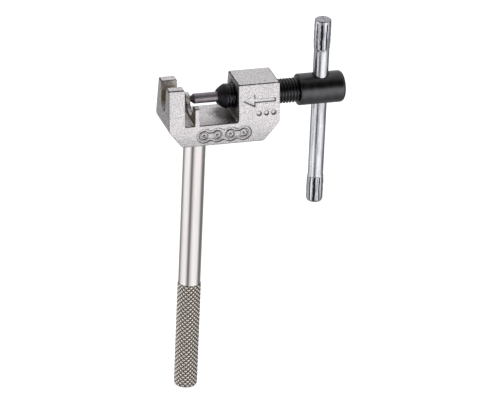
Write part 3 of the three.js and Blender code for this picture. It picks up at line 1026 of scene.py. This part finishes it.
def level_ramp(tree, azimuth, stops):
    """Brightness by azimuth, which runs from 0 to 1 once round."""
    ramp = tree.nodes.new("ShaderNodeValToRGB")
    elements = ramp.color_ramp.elements
    elements.remove(elements[-1])
    for angle, level in stops:
        position = (angle + 180) / 360
        element = elements.new(position) if position > 0 else elements[0]
        element.color = (level, level, level, 1)
    tree.links.new(azimuth, ramp.inputs["Fac"])
    return ramp.outputs["Color"]


def world_share(tree, value, low, high):
    node = tree.nodes.new("ShaderNodeMapRange")
    node.interpolation_type = "SMOOTHSTEP"
    node.inputs["From Min"].default_value = low
    node.inputs["From Max"].default_value = high
    tree.links.new(value, node.inputs["Value"])
    return node.outputs["Result"]


def world_dot(tree, direction, axis):
    node = tree.nodes.new("ShaderNodeVectorMath")
    node.operation = "DOT_PRODUCT"
    node.inputs[1].default_value = axis
    tree.links.new(direction, node.inputs[0])
    return node.outputs["Value"]


def world_mix(tree, share, a, b):
    node = tree.nodes.new("ShaderNodeMix")
    node.data_type = "RGBA"
    tree.links.new(share, node.inputs["Factor"])
    for key, value in (("A", a), ("B", b)):
        if isinstance(value, bpy.types.NodeSocket):
            tree.links.new(value, node.inputs[key])
        else:
            node.inputs[key].default_value = (value, value, value, 1)
    return node.outputs["Result"]


def add_world():
    """Soft panels round the object with dark gaps between them, and plain white behind it."""
    world = bpy.data.worlds.new("studio")
    world.use_nodes = True
    tree = world.node_tree
    bpy.context.scene.world = world
    direction = tree.nodes.new("ShaderNodeTexCoord").outputs["Generated"]
    _, right, _ = view_axes()
    to_camera = Vector((right.y, -right.x, 0))
    angle = tree.nodes.new("ShaderNodeMath")
    angle.operation = "ARCTAN2"
    tree.links.new(world_dot(tree, direction, right), angle.inputs[0])
    tree.links.new(world_dot(tree, direction, to_camera), angle.inputs[1])
    turn = tree.nodes.new("ShaderNodeMapRange")
    turn.inputs["From Min"].default_value = -math.pi
    turn.inputs["From Max"].default_value = math.pi
    tree.links.new(angle.outputs["Value"], turn.inputs["Value"])
    azimuth = turn.outputs["Result"]
    height = world_dot(tree, direction, (0, 0, 1))
    low = level_ramp(tree, azimuth, LOW_LIGHT)
    high = level_ramp(tree, azimuth, HIGH_LIGHT)
    panels = world_mix(tree, world_share(tree, height, *LOW_TO_HIGH), low, high)
    topped = world_mix(tree, world_share(tree, height, *HIGH_TO_ZENITH), panels, ZENITH_LIGHT)
    lit = world_mix(tree, world_share(tree, height, *LOW_TO_NADIR), topped, NADIR_LIGHT)
    seen = tree.nodes.new("ShaderNodeLightPath").outputs["Is Camera Ray"]
    background = tree.nodes["Background"]
    tree.links.new(world_mix(tree, seen, lit, 1.0), background.inputs["Color"])


def add_floor():
    """A plain pale floor, lit evenly to white, that the polished metal doesn't mirror."""
    mesh = bpy.data.meshes.new("floor")
    corners = [(FLOOR_RADIUS * math.cos(a), FLOOR_RADIUS * math.sin(a), 0) for a in angles(FLOOR_SIDES)]
    mesh.from_pydata(corners, [], [tuple(range(FLOOR_SIDES))])
    finish = Finish("pale_floor", roughness=FLOOR_ROUGHNESS, emission_strength=FLOOR_GLOW)
    tint = finish.noise(FLOOR_TINT_SCALE)
    finish.wire(base_color=finish.blend(tint, FLOOR_DARK, FLOOR_LIGHT))
    finish.shader.inputs["Specular IOR Level"].default_value = 0.0
    finish.shader.inputs["Emission Color"].default_value = (1, 1, 1, 1)
    mesh.materials.append(finish.material)
    floor = bpy.data.objects.new("floor", mesh)
    floor.visible_glossy = False
    floor.visible_diffuse = False
    bpy.context.scene.collection.objects.link(floor)


# ---- The scene ----------------------------------------------------------------------------

add_camera()
add_world()
add_floor()
spindle = spindle_mesh()
casting = frame_mesh(spindle)
add_piece("frame_casting", casting, "frame", "body", satin_nickel(), crease=60)
handle = handle_mesh()
add_piece("knurled_handle", handle, "handle", "body", bright_nickel(), crease=60)
add_piece("threaded_spindle", spindle, "spindle", "screw", black_oxide())
pin = driver_pin_mesh()
add_piece("driver_pin_ground", pin, "driver_pin", "pin", ground_steel())
tommy_bar = tommy_bar_mesh()
add_piece("fluted_tommy_bar", tommy_bar, "tommy_bar", "bar", zinc_plate(), crease=40)
bpy.context.scene.view_settings.view_transform = "Standard"
